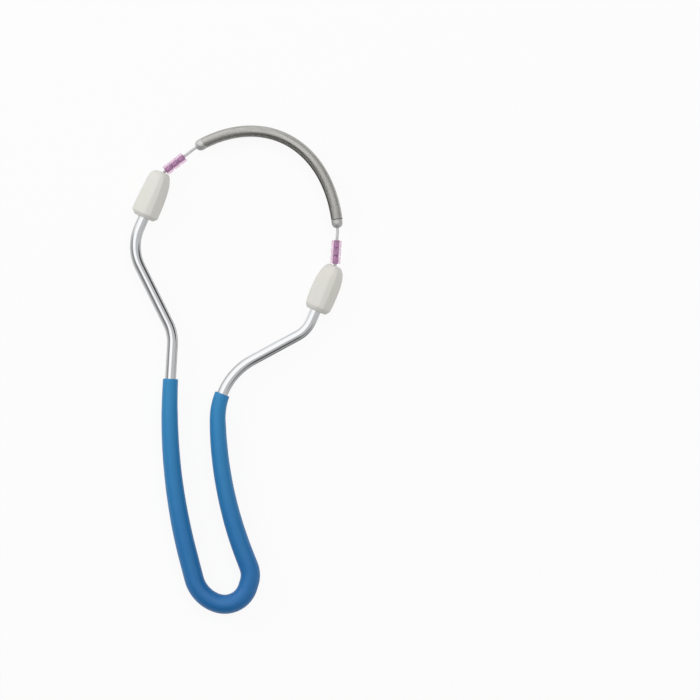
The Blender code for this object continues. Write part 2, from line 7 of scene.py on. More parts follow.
import bmesh
import bpy
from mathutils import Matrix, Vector


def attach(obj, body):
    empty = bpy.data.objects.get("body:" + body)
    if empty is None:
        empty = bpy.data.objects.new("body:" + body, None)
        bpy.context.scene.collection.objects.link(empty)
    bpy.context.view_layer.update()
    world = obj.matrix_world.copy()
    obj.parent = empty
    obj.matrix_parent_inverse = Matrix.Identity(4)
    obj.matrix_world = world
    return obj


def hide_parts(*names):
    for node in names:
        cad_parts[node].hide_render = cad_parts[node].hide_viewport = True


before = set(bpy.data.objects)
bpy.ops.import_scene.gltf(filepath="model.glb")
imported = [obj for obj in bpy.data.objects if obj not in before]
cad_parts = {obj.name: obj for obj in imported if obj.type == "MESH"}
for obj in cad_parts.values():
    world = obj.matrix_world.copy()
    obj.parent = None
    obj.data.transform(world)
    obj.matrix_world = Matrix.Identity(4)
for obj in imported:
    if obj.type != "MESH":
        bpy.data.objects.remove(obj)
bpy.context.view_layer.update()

MM = 0.001
SIDES = ("left", "right")

# Rod: it is walked both ways from the lowest point of the grip's bend, as in the CAD. A step is a
# straight run, then a bend's radius and its turn in degrees.
ROD = 4.4 * MM
WALK_START = (-7.7155 * MM, -93.4257 * MM)
WALK_HEADING = 161.8
LEFT_WALK = (
    (0.0, 14.1 * MM, -57.3),
    (9.3 * MM, 231.0 * MM, -17.8),
    (13.6 * MM, 16.6 * MM, 29.7),
    (25.3 * MM, 18.4 * MM, -50.0),
    (4.5 * MM, 0.0, 0.0),
)
RIGHT_WALK = (
    (0.0, 9.7 * MM, 91.5),
    (2.1 * MM, 9.7 * MM, 37.8),
    (5.0 * MM, 158.7 * MM, -19.7),
    (0.5 * MM, 26.9 * MM, -62.9),
    (20.4 * MM, 12.2 * MM, 37.9),
    (4.4 * MM, 0.0, 0.0),
)
LONGEST_PACE = 1.0 * MM
WIDEST_TURN = 1.5
ROD_SEAT = 12.4 * MM

# The grip's bend lies on the table, and the rod climbs from there to the height of caps and bow
FOOT_HEIGHT = 3.9 * MM
HEAD_HEIGHT = 5.2 * MM
RISE_RUN = 68.0 * MM

# Where the caps' bases sit on the rod, and which way the caps point
CAP_BASES = {"left": (-37.014 * MM, 60.824 * MM), "right": (31.666 * MM, 23.612 * MM)}
CAP_HEADING = 66.4
CAP_LENGTH = 19.7 * MM

# Cable: it starts in the cap, bends at the cap's mouth and runs straight to the bow
CABLE = 1.2 * MM
CABLE_HEADINGS = {"left": 37.5, "right": 86.3}
CABLE_IN_CAP = 4.9 * MM
CABLE_BEND = 2.0 * MM
CABLE_BEND_STEPS = 12
CABLE_LEAD = 1.2 * MM

# Bow: one cubic curve between the outer ends of the two plugs
PLUG_PLACES = {"left": (-13.125 * MM, 90.528 * MM), "right": (40.180 * MM, 60.037 * MM)}
PLUG_AXES = {"left": (-0.89115, -0.45371), "right": (0.13523, -0.99081)}
PLUG_HEAD = 3.2 * MM
BOW_HEADINGS = {"left": 29.7, "right": 95.0}
BOW_PULL = 0.500
BOW_STEPS = 400


# Bench work

WELD = 0.004 * MM


def put_down():
    """Leaves edit mode and lets go of all, so that the next tool acts on its own piece only."""
    if bpy.context.mode != "OBJECT":
        bpy.ops.object.mode_set(mode="OBJECT")
    bpy.ops.object.select_all(action="DESELECT")


def take_up(piece):
    put_down()
    piece.select_set(True)
    bpy.context.view_layer.objects.active = piece


def start_editing(piece):
    take_up(piece)
    bpy.ops.object.mode_set(mode="EDIT")


def settle():
    """Puts a piece's place, turn and size into its mesh."""
    bpy.ops.object.transform_apply(location=True, rotation=True, scale=True)


def pick(kind, wanted):
    """Selects, in edit mode, the vertices, edges or faces that a test of their place wants."""
    piece = bpy.context.object
    bpy.ops.mesh.select_mode(type=kind)
    bpy.ops.mesh.select_all(action="DESELECT")
    work = bmesh.from_edit_mesh(piece.data)
    if kind == "VERT":
        for corner in work.verts:
            corner.select = bool(wanted(corner.co))
    elif kind == "EDGE":
        for edge in work.edges:
            edge.select = bool(wanted(edge.verts[0].co, edge.verts[1].co))
    else:
        for face in work.faces:
            face.select = bool(wanted(face.calc_center_median(), face.normal))
    work.select_flush_mode()
    bmesh.update_edit_mesh(piece.data)


def pick_all():
    bpy.ops.mesh.select_all(action="SELECT")


def extrude(across, along, up):
    bpy.ops.mesh.extrude_region_move(TRANSFORM_OT_translate={"value": (across, along, up)})


def cut_into_rings(length, *rounds):
    """Cuts a bar's long edges so that it can bend, each round cutting what the last one left."""
    pick("EDGE", lambda a, b: abs(a.z - b.z) > 0.5 * length)
    for cuts in rounds:
        bpy.ops.mesh.subdivide(number_cuts=cuts)


def use_modifier(piece, kind, **settings):
    """Adds a modifier with these settings and applies it."""
    take_up(piece)
    modifier = piece.modifiers.new(kind.title(), kind)
    for setting, value in settings.items():
        setattr(modifier, setting, value)
    bpy.ops.object.modifier_apply(modifier=modifier.name)


def clean_skin():
    """Merges what lies together and turns every face outwards, in edit mode."""
    pick_all()
    bpy.ops.mesh.remove_doubles(threshold=WELD)
    bpy.ops.mesh.normals_make_consistent(inside=False)


def turn_on_lathe(name, outline, sides):
    """Draws an outline of (radius, height) points and spins it round the Z axis."""
    put_down()
    bpy.ops.mesh.primitive_plane_add(size=MM)
    piece = bpy.context.object
    piece.name = name
    bpy.ops.object.mode_set(mode="EDIT")
    bpy.ops.mesh.select_mode(type="VERT")
    pick_all()
    bpy.ops.mesh.merge(type="CENTER")
    radius, height = outline[0]
    bpy.ops.transform.translate(value=(radius, 0.0, height))
    for (last_radius, last_height), (radius, height) in zip(outline, outline[1:] + outline[:1]):
        extrude(radius - last_radius, 0.0, height - last_height)
    pick_all()
    bpy.ops.mesh.spin(
        steps=sides, angle=2.0 * math.pi, center=(0.0, 0.0, 0.0), axis=(0.0, 0.0, 1.0))
    clean_skin()
    put_down()
    return piece


def place_along(piece, point, direction):
    """Sets a piece drawn up the Z axis on a point of the bow's plane, its Z along a direction."""
    take_up(piece)
    piece.rotation_euler = (0.0, math.pi / 2.0, math.atan2(direction[1], direction[0]))
    piece.location = (point[0], point[1], HEAD_HEIGHT)
    settle()


def lay_along(piece, points):
    """Bends a straight piece, drawn up the Z axis from zero, along a route of points."""
    guide_line = bpy.data.curves.new("guide", "CURVE")
    guide_line.dimensions = "3D"
    guide_line.use_path = True
    spline = guide_line.splines.new("POLY")
    spline.points.add(len(points) - 1)
    for index, point in enumerate(points):
        spline.points[index].co = (*point, 1.0)
    guide = bpy.data.objects.new("guide", guide_line)
    bpy.context.scene.collection.objects.link(guide)
    use_modifier(piece, "CURVE", object=guide, deform_axis="POS_Z")
    bpy.data.objects.remove(guide, do_unlink=True)


def smooth(piece, angle):
    take_up(piece)
    bpy.ops.object.shade_smooth_by_angle(angle=math.radians(angle))


def coat(piece, *finishes):
    piece.data.materials.clear()
    for finish in finishes:
        piece.data.materials.append(finish)


def fit(piece, body, finish, slot, *nodes):
    """Gives a finished piece its finish and its body, and hides the CAD nodes it stands for; the
    slot is not used.
    """
    coat(piece, finish)
    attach(piece, body)
    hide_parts(*nodes)


# Routes

def heading(angle):
    return Vector((math.cos(math.radians(angle)), math.sin(math.radians(angle)), 0.0))


def eased(low, high, share):
    return low + (high - low) * share * share * (3.0 - 2.0 * share)


def walk(angle, steps):
    """Points along the straight runs and bends, each with how far along it lies."""
    point = Vector((*WALK_START, 0.0))
    distance = 0.0
    stations = [(distance, point.copy())]
    for run, radius, turn in steps:
        count = max(1, math.ceil(run / LONGEST_PACE))
        for _ in range(count if run else 0):
            point = point + heading(angle) * run / count
            distance += run / count
            stations.append((distance, point.copy()))
        if not turn:
            continue
        arc = radius * math.radians(abs(turn))
        count = max(math.ceil(abs(turn) / WIDEST_TURN), math.ceil(arc / LONGEST_PACE))
        for _ in range(count):
            point = point + heading(angle + 0.5 * turn / count) * arc / count
            angle += turn / count
            distance += arc / count
            stations.append((distance, point.copy()))
    return stations


def rod_height(distance):
    return eased(FOOT_HEIGHT, HEAD_HEIGHT, min(distance / RISE_RUN, 1.0))


def rod_route(reach=None):
    """The rod's middle line from left cap to right cap, or only so far each side of the bend."""
    sides = []
    for angle, steps in ((WALK_HEADING, LEFT_WALK), (WALK_HEADING - 180.0, RIGHT_WALK)):
        stations = walk(angle, steps)
        end = stations[-1]
        stations.append((end[0] + ROD_SEAT, end[1] + heading(CAP_HEADING) * ROD_SEAT))
        route = []
        for (near, start), (far, stop) in zip(stations, stations[1:]):
            if reach is not None and far > reach:
                share = (reach - near) / (far - near)
                route += [(near, start), (reach, start + (stop - start) * share)]
                break
            route.append((near, start))
        else:
            route.append(stations[-1])
        sides.append([Vector((p.x, p.y, rod_height(d))) for d, p in route])
    left, right = sides
    return left[::-1] + right[1:]


def route_length(points):
    return sum((b - a).length for a, b in zip(points, points[1:]))


def bow_points():
    """The bow's middle line, from the outer end of the left plug to that of the right one."""
    start, end = [
        Vector((*PLUG_PLACES[side], HEAD_HEIGHT)) + Vector((*PLUG_AXES[side], 0.0)) * PLUG_HEAD
        for side in SIDES]
    pull = (end - start).length * BOW_PULL
    first = start + heading(BOW_HEADINGS["left"]) * pull
    second = end + heading(BOW_HEADINGS["right"]) * pull
    points = []
    for index in range(BOW_STEPS + 1):
        t = index / BOW_STEPS
        s = 1.0 - t
        points.append(
            start * s ** 3 + first * 3.0 * s * s * t + second * 3.0 * s * t * t + end * t ** 3)
    return points


def trimmed(points, off_end):
    """The stretch of a route left when so much is cut from each of its ends."""
    for _ in range(2):
        kept = list(points)
        left_over = off_end
        while left_over > 0.0:
            step = (kept[1] - kept[0]).length
            if step <= left_over:
                kept.pop(0)
                left_over -= step
            else:
                kept[0] = kept[0] + (kept[1] - kept[0]) * left_over / step
                left_over = 0.0
        points = kept[::-1]
    return points


def cable_route():
    """From the ball in the left cap, through beads and bow, to the ball in the right cap."""
    bow = bow_points()
    ends = []
    for side, bow_end in zip(SIDES, (bow[0], bow[-1])):
        turn = CABLE_HEADINGS[side] - CAP_HEADING
        mouth = Vector((*CAP_BASES[side], HEAD_HEIGHT)) + heading(CAP_HEADING) * CAP_LENGTH
        bend = math.radians(abs(turn))
        tangent = CABLE_BEND * math.tan(bend / 2.0)
        route = [mouth - heading(CAP_HEADING) * back for back in (CABLE_IN_CAP, tangent)]
        for step in range(CABLE_BEND_STEPS):
            angle = CAP_HEADING + turn * (step + 0.5) / CABLE_BEND_STEPS
            route.append(route[-1] + heading(angle) * CABLE_BEND * bend / CABLE_BEND_STEPS)
        route.append(bow_end - heading(CABLE_HEADINGS[side]) * CABLE_LEAD)
        ends.append(route)
    left, right = ends
    return left + trimmed(bow, CABLE_LEAD) + right[::-1]


# Finishes

class Finish:
    """A material that starts from the shader's own values and gets its detail from textures."""

    def __init__(self, name, colour, roughness, metallic=0.0, **sockets):
        self.material = bpy.data.materials.new(name)
        self.material.use_nodes = True
        self.nodes = self.material.node_tree.nodes
        self.links = self.material.node_tree.links
        self.shader = self.nodes["Principled BSDF"]
        self.set("Base Color", (*colour, 1.0))
        self.set("Roughness", roughness)
        self.set("Metallic", metallic)
        for socket, value in sockets.items():
            self.set(socket.replace("_", " ").title().replace("Ior", "IOR"), value)
        self.colour = None
        self.relief = None
        self.places = {}

    def set(self, socket, value):
        self.shader.inputs[socket].default_value = value

    def where(self, kind="Object", stretch=(1.0, 1.0, 1.0)):
        """Coordinates on the piece, stretched per axis."""
        key = (kind, stretch)
        if key not in self.places:
            source = self.nodes.new("ShaderNodeTexCoord")
            mapping = self.nodes.new("ShaderNodeMapping")
            mapping.inputs["Scale"].default_value = stretch
            self.links.new(source.outputs[kind], mapping.inputs["Vector"])
            self.places[key] = mapping.outputs["Vector"]
        return self.places[key]

    def noise(self, scale, detail, rough=0.5, kind="Object", stretch=(1.0, 1.0, 1.0)):
        texture = self.nodes.new("ShaderNodeTexNoise")
        texture.inputs["Scale"].default_value = scale
        texture.inputs["Detail"].default_value = detail
        texture.inputs["Roughness"].default_value = rough
        self.links.new(self.where(kind, stretch), texture.inputs["Vector"])
        return texture.outputs["Fac"]

    def ranged(self, value, low, high, to_low, to_high):
        node = self.nodes.new("ShaderNodeMapRange")
        ends = {"From Min": low, "From Max": high, "To Min": to_low, "To Max": to_high}
        for socket, number in ends.items():
            node.inputs[socket].default_value = number
        self.links.new(value, node.inputs["Value"])
        return node.outputs["Result"]

    def up_the_tool(self, low, high):
        """From 0 to 1 between two heights along the tool."""
        split = self.nodes.new("ShaderNodeSeparateXYZ")
        self.links.new(self.where(), split.inputs["Vector"])
        return self.ranged(split.outputs["Y"], low, high, 0.0, 1.0)

    def tint(self, value, colour):
        """Lays a colour over what is there, by a value from 0 to 1."""
        mix = self.nodes.new("ShaderNodeMix")
        mix.data_type = "RGBA"
        share, _, _, _, _, _, under, over, *_ = mix.inputs
        if self.colour is None:
            under.default_value = self.shader.inputs["Base Color"].default_value
        else:
            self.links.new(self.colour, under)
        over.default_value = (*colour, 1.0)
        self.links.new(value, share)
        self.colour = mix.outputs[2]
        self.links.new(self.colour, self.shader.inputs["Base Color"])

    def mottle(self, colour, most, scale, detail, low, high, rough=0.5):
        """Lays a colour on in soft patches: none where the noise is low, the most where high."""
        patches = self.ranged(self.noise(scale, detail, rough), low, high, 0.0, most)
        self.tint(patches, colour)

    def vary_gloss(self, smoothest, roughest, scale, detail, low=0.3, high=0.7):
        """Lets the roughness wander between two values."""
        value = self.ranged(self.noise(scale, detail), low, high, smoothest, roughest)
        self.links.new(value, self.shader.inputs["Roughness"])

    def raise_by(self, value, depth, strength):
        """Raises the surface by a texture, over the relief that is there."""
        node = self.nodes.new("ShaderNodeBump")
        node.inputs["Strength"].default_value = strength
        node.inputs["Distance"].default_value = depth
        self.links.new(value, node.inputs["Height"])
        if self.relief is not None:
            self.links.new(self.relief, node.inputs["Normal"])
        self.relief = node.outputs["Normal"]
        self.links.new(self.relief, self.shader.inputs["Normal"])

    def grain(self, depth, strength, scale, detail):
        self.raise_by(self.noise(scale, detail), depth, strength)


def bright_drawn_steel():
    steel = Finish("bright_drawn_steel", (0.60, 0.61, 0.62), roughness=0.14, metallic=1.0)
    lines = steel.noise(scale=1.0, detail=3.0, rough=0.6, kind="UV", stretch=(190.0, 5.0, 1.0))
    steel.vary_gloss(0.09, 0.20, scale=160.0, detail=3.0, low=0.35)
    steel.tint(steel.ranged(lines, 0.50, 0.80, 0.0, 0.30), (0.50, 0.51, 0.52))
    steel.raise_by(lines, depth=0.003 * MM, strength=0.35)
    steel.grain(depth=0.002 * MM, strength=0.25, scale=900.0, detail=2.0)
    return steel.material


def dipped_vinyl():
    vinyl = Finish(
        "dipped_blue_vinyl", (0.012, 0.153, 0.430), roughness=0.38, specular_ior_level=0.45)
    vinyl.tint(vinyl.up_the_tool(-90.0 * MM, -5.0 * MM), (0.023, 0.252, 0.538))
    vinyl.mottle((0.028, 0.220, 0.465), most=0.25, scale=70.0, detail=4.0, low=0.4, high=0.75)
    vinyl.mottle((0.009, 0.133, 0.362), most=0.20, scale=2400.0, detail=3.0, low=0.55, high=0.8)
    vinyl.vary_gloss(0.30, 0.42, scale=120.0, detail=5.0)
    vinyl.grain(depth=0.04 * MM, strength=0.3, scale=420.0, detail=3.0)
    vinyl.grain(depth=0.008 * MM, strength=0.3, scale=3500.0, detail=2.0)
    return vinyl.material


def ivory_plastic():
    plastic = Finish("ivory_plastic", (0.765, 0.762, 0.718), roughness=0.42, specular_ior_level=0.4)
    plastic.mottle((0.756, 0.752, 0.665), most=0.5, scale=90.0, detail=3.0, low=0.46, high=0.70)
    plastic.mottle(
        (0.66, 0.64, 0.58), most=0.25, scale=700.0, detail=5.0, rough=0.65, low=0.58, high=0.85)
    plastic.vary_gloss(0.36, 0.50, scale=260.0, detail=4.0)
    plastic.grain(depth=0.015 * MM, strength=0.35, scale=1500.0, detail=3.0)
    plastic.grain(depth=0.08 * MM, strength=0.2, scale=180.0, detail=2.0)
    return plastic.material


def spring_wire():
    wire = Finish("close_wound_wire", (0.525, 0.52, 0.495), roughness=0.30, metallic=1.0)
    wire.mottle((0.48, 0.475, 0.45), most=0.5, scale=60.0, detail=3.0, low=0.40, high=0.70)
    wire.vary_gloss(0.24, 0.31, scale=90.0, detail=3.0)
    wire.grain(depth=0.001 * MM, strength=0.1, scale=5000.0, detail=2.0)
    return wire.material


def coated_cable():
    clear_coat = Finish(
        "coated_cable", (0.66, 0.66, 0.67), roughness=0.28, coat_weight=0.6, coat_roughness=0.12)
    clear_coat.mottle((0.54, 0.54, 0.56), most=0.5, scale=1500.0, detail=3.0, low=0.45, high=0.75)
    clear_coat.vary_gloss(0.22, 0.36, scale=700.0, detail=3.0)
    clear_coat.grain(depth=0.01 * MM, strength=0.4, scale=2600.0, detail=2.0)
    return clear_coat.material


def turned_steel():
    steel = Finish("turned_plug_steel", (0.56, 0.56, 0.55), roughness=0.5, metallic=0.55)
    steel.mottle((0.50, 0.50, 0.49), most=0.5, scale=500.0, detail=4.0, low=0.4, high=0.75)
    steel.vary_gloss(0.42, 0.56, scale=900.0, detail=3.0)
    steel.grain(depth=0.004 * MM, strength=0.3, scale=2500.0, detail=2.0)
    return steel.material


def pink_bead():
    glass = Finish(
        "clear_pink_bead", (0.94, 0.71, 0.87), roughness=0.10, ior=1.5, transmission_weight=0.85)
    glass.mottle((0.90, 0.58, 0.80), most=0.5, scale=500.0, detail=3.0, low=0.4, high=0.75)
    glass.vary_gloss(0.06, 0.16, scale=1200.0, detail=3.0)
    glass.grain(depth=0.02 * MM, strength=0.25, scale=900.0, detail=2.0)
    return glass.material


def purple_lining():
    lining = Finish("purple_bead_lining", (0.335, 0.14, 0.325), roughness=0.40)
    lining.mottle((0.405, 0.19, 0.395), most=0.6, scale=1500.0, detail=3.0, low=0.4, high=0.75)
    lining.vary_gloss(0.32, 0.5, scale=900.0, detail=3.0)
    lining.grain(depth=0.008 * MM, strength=0.4, scale=3000.0, detail=2.0)
    return lining.material


def crimped_brass():
    brass = Finish("crimped_brass", (0.72, 0.53, 0.24), roughness=0.34, metallic=1.0)
    brass.mottle((0.50, 0.34, 0.15), most=0.6, scale=900.0, detail=4.0, low=0.45, high=0.75)
    brass.vary_gloss(0.24, 0.46, scale=1400.0, detail=3.0)
    brass.grain(depth=0.02 * MM, strength=0.5, scale=2500.0, detail=2.0)
    return brass.material


# Rod: a long bar, its ends chamfered, cut into short rings and bent along its route

ROD_SIDES = 48
ROD_POLISH = 0.01 * MM
ROD_CHAMFER = 0.45 * MM
ROD_CHAMFER_STEPS = 3
ROD_CUTS = (100, 3)


def make_rod():
    route = rod_route()
    length = route_length(route)
    put_down()
    bpy.ops.mesh.primitive_cylinder_add(
        vertices=ROD_SIDES, radius=ROD / 2.0 - ROD_POLISH, depth=length,
        location=(0.0, 0.0, length / 2.0))
    bar = bpy.context.object
    bar.name = "bent_rod"
    settle()
    start_editing(bar)
    pick("EDGE", lambda a, b: abs(a.z - b.z) < MM)
    bpy.ops.mesh.bevel(offset=ROD_CHAMFER, segments=ROD_CHAMFER_STEPS, affect="EDGES")
    cut_into_rings(length, *ROD_CUTS)
    put_down()
    lay_along(bar, route)
    smooth(bar, angle=35.0)
    return bar


# Grip: its outline is drawn and turned as one straight sleeve, then bent with the rod

GRIP_REACH = 95.0 * MM
GRIP_BORE_PLAY = 0.02 * MM
GRIP_LIP = 0.55 * MM
GRIP_LIP_STEPS = 6
GRIP_RINGS = 210
GRIP_SIDES = 40
# Distance from the bend and width across, in millimetres
GRIP_WIDTHS = (
    (0.0, 7.72), (23.0, 7.80), (35.0, 7.64), (42.0, 7.46), (48.0, 7.28), (60.0, 7.02),
    (72.0, 6.80), (79.0, 6.62), (87.0, 6.32), (93.0, 6.14), (95.0, 6.12),
)


def grip_width(distance):
    away = min(abs(distance), GRIP_REACH)
    width = GRIP_WIDTHS[-1][1]
    for (near, first), (far, second) in zip(GRIP_WIDTHS, GRIP_WIDTHS[1:]):
        if away <= far * MM:
            width = eased(first, second, (away / MM - near) / (far - near))
            break
    return width * MM


def make_grip():
    bore = ROD / 2.0 + GRIP_BORE_PLAY
    length = 2.0 * GRIP_REACH
    outside = []
    for index in range(GRIP_RINGS + 1):
        height = GRIP_LIP + (length - 2.0 * GRIP_LIP) * index / GRIP_RINGS
        outside.append((grip_width(height - GRIP_REACH) / 2.0, height))
    foot_lip = []
    head_lip = []
    for step in range(1, GRIP_LIP_STEPS + 1):
        angle = 0.5 * math.pi * step / GRIP_LIP_STEPS
        inwards = GRIP_LIP * (1.0 - math.cos(angle))
        upwards = GRIP_LIP * math.sin(angle)
        foot_lip.insert(0, (outside[0][0] - inwards, GRIP_LIP - upwards))
        head_lip.append((outside[-1][0] - inwards, length - GRIP_LIP + upwards))
    inside = [(bore, length * (1.0 - index / GRIP_RINGS)) for index in range(GRIP_RINGS + 1)]
    outline = foot_lip + outside + head_lip + inside
    sleeve = turn_on_lathe("dipped_grip", outline, GRIP_SIDES)
    lay_along(sleeve, rod_route(GRIP_REACH))
    smooth(sleeve, angle=50.0)
    return sleeve


# Caps: eight-sided bullets, drawn ring by ring from the base, their ridges fading into a round tip

# The eight corners, as shares of a ring's half width and half thickness
CAP_CORNERS = (
    (1.0, -0.52), (1.0, 0.35), (0.455, 0.955), (0.02, 1.0),
    (-1.0, 0.52), (-1.0, -0.35), (-0.45, -1.0), (-0.02, -1.0),
)
# The rings in millimetres: height, half width, half thickness and how far aside they sit
CAP_RINGS = {
    "left": (
        (0.0, 4.1, 3.5, 0.0), (0.25, 4.35, 3.78, 0.0), (1.5, 5.34, 5.05, -0.12),
        (3.0, 5.46, 5.16, -0.2), (8.0, 5.34, 5.18, -0.1), (12.5, 5.0, 5.16, -0.18),
        (15.4, 4.74, 5.05, -0.35), (17.3, 4.35, 4.6, -0.6), (18.8, 3.75, 3.8, -0.5),
        (19.65, 2.85, 2.8, -0.2),
    ),
    "right": (
        (0.0, 4.15, 3.5, 0.15), (0.25, 4.38, 3.78, 0.15), (1.7, 5.12, 4.98, 0.3),
        (3.4, 5.38, 5.16, 0.3), (8.5, 5.52, 5.18, 0.15), (12.5, 5.36, 5.16, 0.17),
        (15.2, 4.89, 5.08, 0.19), (17.2, 4.33, 4.62, 0.1), (18.7, 3.55, 3.8, 0.0),
        (19.65, 2.65, 2.7, 0.0),
    ),
}
# How far each ring after the base is drawn towards a circle
CAP_ROUNDNESS = (0.0, 0.0, 0.0, 0.0, 0.0, 0.0, 0.15, 0.4, 0.7)
# How sharply the ridges are held, band by band from the chamfer to the dome
CAP_RIDGES = (0.7, 0.85, 0.92, 0.92, 0.85, 0.6, 0.35)
CAP_CHAMFER_RIDGE = 0.65
CAP_FINENESS = 3
RING_SLACK = 0.1 * MM
SHORTEST_RIDGE = 0.5 * MM
# Edges nearer to the axis than this belong to the mouth or the socket, and aren't ridges
HOLES_REACH = 3.0 * MM

# The cable's hole at the tip, which opens into the chamber for the ball
MOUTH_INSET = 1.5 * MM
MOUTH_LIP = 0.5 * MM
MOUTH_FLARE = 1.2
MOUTH_THROAT = 0.9 * MM
CHAMBER_SHOULDER = 0.2 * MM
CHAMBER_FLARE = 1.95
CHAMBER_DEPTH = 4.6 * MM

# The rod's socket in the base
SOCKET_INSET = 1.6 * MM
SOCKET_RIM = 0.35 * MM
SOCKET_LIP = 0.4 * MM
SOCKET_DEPTH = 5.0 * MM
BASE_SLACK = 0.01 * MM
AXIS_SLACK = 0.5 * MM


def draw_cap_base(cap, base):
    """Pulls the corners of a small ring out to the corners of the base."""
    _, half_width, half_thickness, aside = base

    def bearing(across, up):
        return math.atan2(up, across) % (2.0 * math.pi)

    work = bmesh.from_edit_mesh(cap.data)
    starts = [corner.co.copy() for corner in work.verts]
    starts.sort(key=lambda start: bearing(start.x, start.z))
    corners = sorted(CAP_CORNERS, key=lambda corner: bearing(*corner))
    for start, (across, up) in zip(starts, corners):
        target = Vector(((across * half_width + aside) * MM, 0.0, up * half_thickness * MM))
        pick("VERT", lambda corner: (corner - start).length < RING_SLACK)
        bpy.ops.transform.translate(value=target - start)


def draw_cap_rings(rings):
    bpy.ops.mesh.select_mode(type="FACE")
    pick_all()
    for last, ring, roundness in zip(rings, rings[1:], CAP_ROUNDNESS):
        extrude((ring[3] - last[3]) * MM, (ring[0] - last[0]) * MM, 0.0)
        bpy.ops.transform.resize(
            value=(ring[1] / last[1], 1.0, ring[2] / last[2]),
            center_override=(ring[3] * MM, ring[0] * MM, 0.0))
        if roundness:
            bpy.ops.transform.tosphere(value=roundness)


def drill_cap_tip(tip, aside):
    """Sinks the mouth from the last ring's face, brings it to the axis and widens it inside."""
    bpy.ops.mesh.inset(thickness=MOUTH_INSET)
    bpy.ops.transform.tosphere(value=1.0)
    extrude(0.0, -MOUTH_LIP, 0.0)
    bpy.ops.transform.resize(
        value=(MOUTH_FLARE, 1.0, MOUTH_FLARE), center_override=(aside, tip, 0.0))
    extrude(-aside, -MOUTH_THROAT, 0.0)
    extrude(0.0, -CHAMBER_SHOULDER, 0.0)
    bpy.ops.transform.resize(
        value=(CHAMBER_FLARE, 1.0, CHAMBER_FLARE), center_override=(0.0, tip, 0.0))
    extrude(0.0, -CHAMBER_DEPTH, 0.0)


def drill_cap_socket():
    pick("FACE", lambda middle, normal: middle.y < BASE_SLACK and abs(middle.x) < AXIS_SLACK)
    bpy.ops.mesh.inset(thickness=SOCKET_INSET)
    bpy.ops.transform.tosphere(value=1.0)
    bpy.ops.mesh.inset(thickness=SOCKET_RIM)
    extrude(0.0, SOCKET_LIP, 0.0)
    extrude(0.0, SOCKET_DEPTH, 0.0)


def hold_cap_ridges(rings):
    for (low, *_), (high, *_), share in zip(rings[1:], rings[2:], CAP_RIDGES):
        foot = low * MM - RING_SLACK
        head = high * MM + RING_SLACK
        pick("EDGE", lambda a, b: min(a.y, b.y) > foot and max(a.y, b.y) < head
             and abs(a.y - b.y) > SHORTEST_RIDGE and min(a.xz.length, b.xz.length) > HOLES_REACH)
        bpy.ops.transform.edge_crease(value=share)
    top = rings[2][0] * MM
    pick("EDGE", lambda a, b: max(abs(a.y - top), abs(b.y - top)) < RING_SLACK)
    bpy.ops.transform.edge_crease(value=CAP_CHAMFER_RIDGE)


def make_cap(side):
    put_down()
    bpy.ops.mesh.primitive_circle_add(
        vertices=len(CAP_CORNERS), radius=MM, fill_type="NGON",
        rotation=(math.pi / 2.0, 0.0, 0.0))
    cap = bpy.context.object
    cap.name = "bullet_cap_" + side
    settle()
    start_editing(cap)
    rings = CAP_RINGS[side]
    draw_cap_base(cap, rings[0])
    draw_cap_rings(rings)
    drill_cap_tip(rings[-1][0] * MM, rings[-1][3] * MM)
    drill_cap_socket()
    hold_cap_ridges(rings)
    clean_skin()
    use_modifier(cap, "SUBSURF", levels=CAP_FINENESS, render_levels=CAP_FINENESS)
    take_up(cap)
    cap.rotation_euler = (0.0, 0.0, math.radians(CAP_HEADING - 90.0))
    cap.location = (*CAP_BASES[side], HEAD_HEIGHT)
    settle()
    smooth(cap, angle=60.0)
    return cap


# Spring: one flattened ring of wire screwed up into a long coil, then bent along the bow

COIL = 4.65 * MM
COIL_WIRE = 0.40 * MM
COIL_WIRE_SIDES = 8
COIL_FLATTEN = 0.48
COIL_PITCH = 0.42 * MM
COIL_STEPS = 24
COIL_ON_PLUG = 0.03 * MM


def make_coil():
    bow = trimmed(bow_points(), PLUG_HEAD - COIL_ON_PLUG)
    length = route_length(bow)
    turns = round((length - COIL_WIRE) / COIL_PITCH)
    put_down()
    bpy.ops.mesh.primitive_circle_add(
        vertices=COIL_WIRE_SIDES, radius=COIL_WIRE / 2.0, rotation=(math.pi / 2.0, 0.0, 0.0),
        location=((COIL - COIL_WIRE) / 2.0, 0.0, COIL_WIRE / 2.0))
    coil = bpy.context.object
    coil.name = "close_wound_spring"
    settle()
    start_editing(coil)
    pick_all()
    bpy.ops.transform.resize(
        value=(COIL_FLATTEN, 1.0, 1.0), center_override=(COIL / 2.0, 0.0, COIL_WIRE / 2.0))
    put_down()
    use_modifier(
        coil, "SCREW", axis="Z", angle=2.0 * math.pi, screw_offset=(length - COIL_WIRE) / turns,
        iterations=turns, steps=COIL_STEPS, render_steps=COIL_STEPS)
    start_editing(coil)
    pick_all()
    bpy.ops.mesh.fill_holes(sides=0)
    clean_skin()
    put_down()
    lay_along(coil, bow)
    smooth(coil, angle=60.0)
    return coil


# Cable: six strands in one round bundle, twisted and laid along its route

CABLE_SIDES = 24
CABLE_STRANDS = 6
CABLE_GROOVE = 0.88
CABLE_LAY = 7.0 * MM
CABLE_CUTS = (100, 2)


